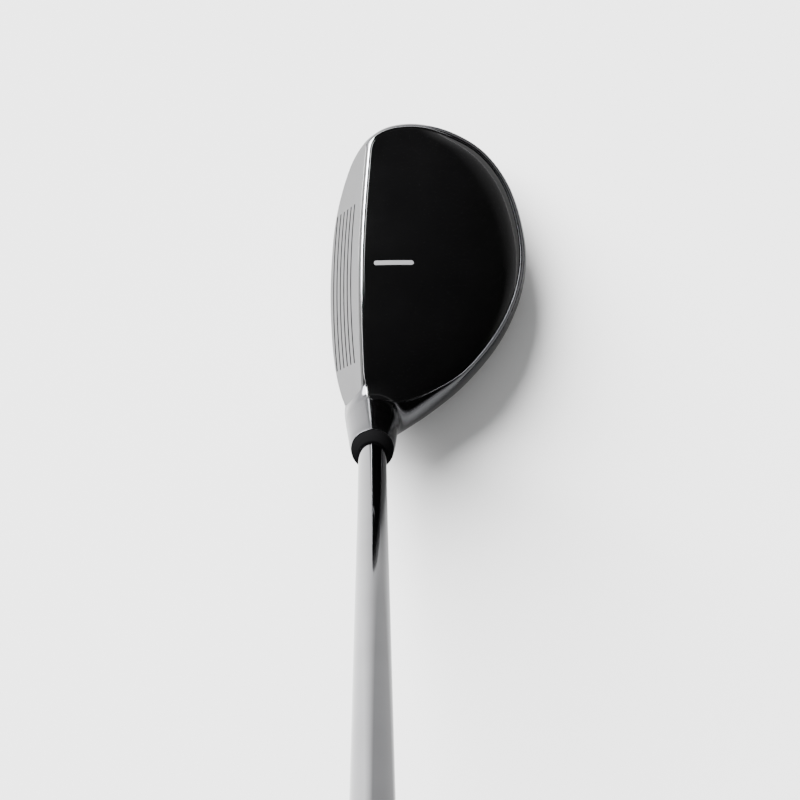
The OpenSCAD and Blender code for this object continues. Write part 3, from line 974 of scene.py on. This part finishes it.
def shaft():
    """Plated tube, and the plain band round it."""
    start, end, _ = along_shaft("shaft")
    stations = np.concatenate([[start], np.arange(TAPER_START, end, 20.0), [TAPER_END, end]])
    stations = np.unique(stations)
    profile = [[shaft_radius(d), d] for d in stations]
    profile += [[shaft_radius(d) - SHAFT_WALL, d] for d in stations[::-1]]
    points, faces = lathe(profile, 160)
    add_piece("shaft", points, faces, CHROME, ["shaft"])

    start, end, radius = along_shaft("shaft_band")
    outer = [[radius - 0.03, start], [radius, start + 0.3], [radius + 0.02, end - 0.3]]
    outer.append([radius - 0.01, end])
    points, faces = lathe(outer + [[radius - 0.3, end], [radius - 0.3, start]], 128)
    add_piece("shaft_band", points, faces, BAND_FILM, ["shaft_band"])


# Lattice of the grip: cells round it, their length, and the depth and width of the grooves
GRIP_CELLS = 20
GRIP_PITCH = 8.0
GRIP_RELIEF = 0.35
GROOVE_SHARE = 0.13
# Grip's radii at its ends, and the plain collars, as distances from its start
GRIP_MOUTH = 9.0
GRIP_WIDEST = 13.3
COLLARS = (14, 92, 172, 250)
COLLAR_RING = 0.3
GRIP_BORE_START = 8.0
GRIP_BORE_END = 8.1
# Cap: its vent, its rounded edge, and the radii and depth of its rings
VENT_RADIUS = 1.3
CAP_EDGE = 1.8
CAP_RINGS = (10.2, 7.4, 4.6)
CAP_RING_DEPTH = 0.35


def grip():
    """Tapered sleeve with a moulded lattice between plain collars, and the end cap with its vent."""
    start, end, _ = along_shaft("grip_sleeve")
    around = 160
    angle = np.arange(around) * 2 * math.pi / around
    cells = angle * GRIP_CELLS / (2 * math.pi)
    rows = []
    stations = np.concatenate([[start, start + 0.4], np.arange(start + 1, end, 0.6), [end]])
    for d in stations:
        share = (d - start) / (end - start)
        radius = GRIP_MOUTH + (GRIP_WIDEST - GRIP_MOUTH) * (0.35 * share + 0.65 * share**1.6)
        radius -= 0.6 * (1 - ease((d - start) / 1.2))
        one = np.abs((cells + d / GRIP_PITCH) % 1 - 0.5)
        other = np.abs((cells - d / GRIP_PITCH) % 1 - 0.5)
        line = np.maximum(1 - ease(one / GROOVE_SHARE), 1 - ease(other / GROOVE_SHARE))
        collar = min(abs(d - start - c) for c in COLLARS)
        zone = ease((d - start - 18) / 3) * ease((end - 17 - d) / 3) * ease((collar - 4) / 2)
        ring = COLLAR_RING * (1 - ease((collar - 0.5) / 0.8))
        rows.append([on_shaft(d, r, a) for r, a in zip(radius - GRIP_RELIEF * line * zone - ring, angle)])
    for d, r in ((end, GRIP_BORE_END), (start, GRIP_BORE_START)):
        rows.append([on_shaft(d, r, a) for a in angle])
    points = np.concatenate(rows)
    faces = [tuple(c % len(points) for c in f) for f in grid_faces(len(rows) + 1, around, True)]
    add_piece("grip_sleeve", points, faces, GRIP_RUBBER, ["grip_sleeve"], sharp=50)

    start, end, radius = along_shaft("grip_cap")
    profile = [[VENT_RADIUS, start], [radius - 1.2, start]]
    profile += [[radius - 0.2, start + 0.35], [radius, start + 1.0]]
    for turn in np.linspace(0.15, math.pi / 2, 7):
        edge = CAP_EDGE * np.array([math.cos(turn) - 1, math.sin(turn) - 1])
        profile.append([radius + edge[0], end + edge[1]])
    for groove in CAP_RINGS:
        low = end - CAP_RING_DEPTH
        profile += [[groove, end], [groove - 0.2, low], [groove - 0.6, low], [groove - 0.8, end]]
    profile += [[VENT_RADIUS + 0.3, end], [VENT_RADIUS, end - 0.3]]
    points, faces = lathe(profile, 128)
    add_piece("grip_cap", points, faces, CAP_RUBBER, ["grip_cap"], sharp=40)


def inner_pieces():
    """Hidden CAD pieces keep their shape and get a finish."""
    glue = gloss("glue", (0.55, 0.42, 0.18), 0.4)
    epoxy = gloss("epoxy", (0.32, 0.28, 0.18), 0.35)
    tape = gloss("tape", (0.62, 0.57, 0.45), 0.7)
    finishes = {
        "rear_weight_bar": TUNGSTEN,
        "rattle_glue": glue,
        "tip_epoxy": epoxy,
        "tip_plug": BRASS,
        "grip_tape": tape,
    }
    for node, material in finishes.items():
        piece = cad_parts[node]
        piece.data.materials.clear()
        piece.data.materials.append(material)


cast_head()
hosel_rim()
crown_plate()
top_lip()
skirt_line()
top_seam()
face_plate()
alignment_mark()
sole_pieces()
ferrule()
shaft()
grip()
inner_pieces()


# ---------------------------------------------------------------- stage, in metres
# Matt pale paper of the floor
FLOOR_SIZE = 6.0
FLOOR_TONES = (0.85, 0.87)
PAPER_ROUGH = 0.9
PAPER_SHEEN = 0.1
# Card over the floor that only mirrors see. Its tone falls across it from pale to dark, as painted shade:
# the metals mirror a darker, shadowed studio behind the head and past the toe
CARD_SIZE = 1.6
CARD_HEIGHT = 0.0004
CARD_TURN = math.radians(-17)
CARD_SHIFT = 0.10
CARD_SPAN = 0.19
CARD_PALE = 0.86
# Painted shade: the card's dark tone darkens the metals' reflections behind the head and past the toe
CARD_PAINTED_SHADE = 0.22


def sheet(name, size, height, tone_source):
    """Level matt square whose tone comes from a function of its material and coordinates."""
    mesh = bpy.data.meshes.new(name)
    corners = [(x * size, y * size, height) for x, y in ((-1, -1), (1, -1), (1, 1), (-1, 1))]
    mesh.from_pydata(corners, [], [(0, 1, 2, 3)])
    material, shader, where = new_material(name)
    material.node_tree.links.new(tone_source(material, where), shader.inputs["Base Color"])
    shader.inputs["Roughness"].default_value = PAPER_ROUGH
    shader.inputs["Specular IOR Level"].default_value = PAPER_SHEEN
    mesh.materials.append(material)
    piece = bpy.data.objects.new(name, mesh)
    bpy.context.scene.collection.objects.link(piece)
    return piece


def floor_tone(material, where):
    """Nearly even tone with a trace of paper in it."""
    return ramp(material, noise(material, where, 3), *FLOOR_TONES)


def card_painted_shade_tone(material, where):
    """Pale on the target's side, and darker behind the head and past the toe: painted shade for what the
    metals mirror.
    """
    tree = material.node_tree
    placing = tree.nodes.new("ShaderNodeMapping")
    placing.inputs["Rotation"].default_value = (0, 0, CARD_TURN)
    split = tree.nodes.new("ShaderNodeSeparateXYZ")
    lift = tree.nodes.new("ShaderNodeMath")
    lift.inputs[1].default_value = CARD_SHIFT
    tree.links.new(where.outputs["Object"], placing.inputs["Vector"])
    tree.links.new(placing.outputs["Vector"], split.inputs["Vector"])
    tree.links.new(split.outputs["Y"], lift.inputs[0])
    return ramp(material, lift.outputs["Value"], CARD_PALE, CARD_PAINTED_SHADE, 0.0, CARD_SPAN)


def mirrored_shade_sheet():
    """Card that sets what the bare metals mirror, and that is seen nowhere else: a sheet of painted shade
    in their reflections.
    """
    piece = sheet("painted_shade_card", CARD_SIZE, CARD_HEIGHT, card_painted_shade_tone)
    piece.visible_camera = False
    piece.visible_diffuse = False
    piece.visible_shadow = False
    piece.visible_transmission = False


def soft_sun(name, place, strength, spread, mirrored=True):
    """Broad even light from the direction of a place, as from a large softbox far away."""
    lamp = bpy.data.lights.new(name, "SUN")
    lamp.energy = strength
    lamp.angle = math.radians(spread)
    piece = bpy.data.objects.new(name, lamp)
    piece.location = place
    piece.visible_glossy = mirrored
    piece.rotation_mode = "QUATERNION"
    piece.rotation_quaternion = (-Vector(place)).to_track_quat("-Z", "Y")
    bpy.context.scene.collection.objects.link(piece)


WALL_TONE = (0.6, 0.6, 0.61, 1)
CEILING_TONE = (0.012, 0.012, 0.012, 1)
WORLD_STRENGTH = 1.1


def surroundings():
    """Pale walls that fall off to a dark ceiling, as in a small studio tent with an open top."""
    world = bpy.data.worlds.new("studio")
    bpy.context.scene.world = world
    world.use_nodes = True
    tree = world.node_tree
    where = tree.nodes.new("ShaderNodeTexCoord")
    split = tree.nodes.new("ShaderNodeSeparateXYZ")
    blend = tree.nodes.new("ShaderNodeValToRGB")
    for stop, height, tone in zip(blend.color_ramp.elements, (0.02, 0.3), (WALL_TONE, CEILING_TONE)):
        stop.position = height
        stop.color = tone
    tree.links.new(where.outputs["Generated"], split.inputs["Vector"])
    tree.links.new(split.outputs["Z"], blend.inputs["Fac"])
    tree.links.new(blend.outputs["Color"], tree.nodes["Background"].inputs["Color"])
    tree.nodes["Background"].inputs["Strength"].default_value = WORLD_STRENGTH


# Camera: its place in mm, how far it tips towards the toe and turns sideways, and its lens in mm
CAMERA_PLACE = np.array([138.4, 0.0, 618.0])
CAMERA_PITCH = 9.224
CAMERA_TURN = 0.927
CAMERA_LENS = 76.5


def camera():
    """Camera above the golfer's side of the head, looking down and a little towards the toe."""
    place = CAMERA_PLACE
    pitch = math.radians(CAMERA_PITCH)
    turn = math.radians(CAMERA_TURN)
    ahead = np.array([-math.sin(pitch), 0, -math.cos(pitch)])
    right = np.array([0.0, 1.0, 0.0])
    back = -(ahead * math.cos(turn) + right * math.sin(turn))
    side = right * math.cos(turn) - ahead * math.sin(turn)
    rise = np.cross(back, side)
    lens = bpy.data.cameras.new("camera")
    lens.lens = CAMERA_LENS
    lens.sensor_width = 36.0
    lens.clip_start = 0.01
    piece = bpy.data.objects.new("camera", lens)
    piece.matrix_world = Matrix(
        [[side[i], rise[i], back[i], place[i] * MM] for i in range(3)] + [[0, 0, 0, 1]]
    )
    bpy.context.scene.collection.objects.link(piece)
    bpy.context.scene.camera = piece


# Broad key light from the toe's front side, and a weak fill from straight above
KEY_PLACE = (-1.08, -1.1, 0.9)
KEY_STRENGTH = 25
KEY_SPREAD = 56
FILL_PLACE = (0.0, 0.0, 1.7)
FILL_STRENGTH = 1.2
FILL_SPREAD = 90

sheet("floor", FLOOR_SIZE, 0.0, floor_tone)
mirrored_shade_sheet()
surroundings()
soft_sun("key", KEY_PLACE, KEY_STRENGTH, KEY_SPREAD)
soft_sun("overhead", FILL_PLACE, FILL_STRENGTH, FILL_SPREAD, mirrored=False)
camera()
